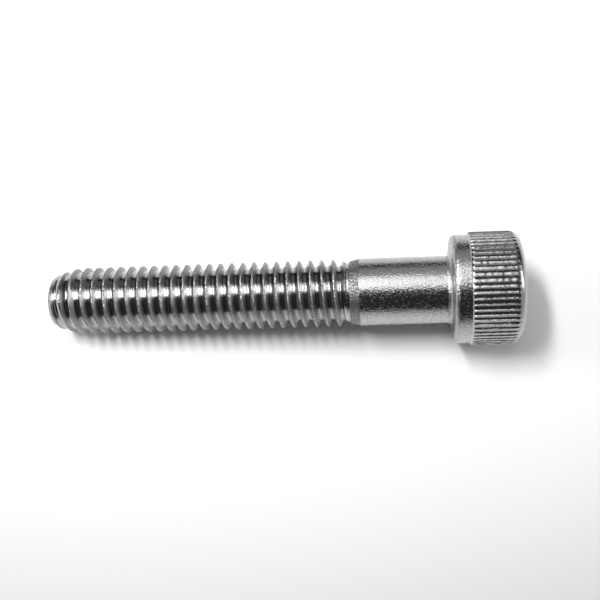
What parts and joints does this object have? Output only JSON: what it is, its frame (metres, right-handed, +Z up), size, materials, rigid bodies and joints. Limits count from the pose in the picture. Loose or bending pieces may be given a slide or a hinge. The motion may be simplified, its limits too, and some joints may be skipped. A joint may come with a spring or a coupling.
{
  "type": "hex socket cap screw",
  "caption": "Hex socket cap screw with a knurled round head, a plain shank and a rolled right-hand thread, lying on its side.",
  "frame": {"origin": "centre of the screw's box on the surface it lies on, at z = 0", "axes": "+X runs level from the tip towards the head, the screw's own axis rising from it by 3.35 degrees because the head is wider than the thread; +Z is up; +Y is across the screw"},
  "size_m": [0.0416, 0.01, 0.0101],
  "materials": {
    "steel": "bright rolled stainless steel with a fine tumbled grain on the shank and head band, polished thread flanks"
  },
  "bodies": {
    "root": {"cap_screw": "steel"}
  },
  "joints": []
}
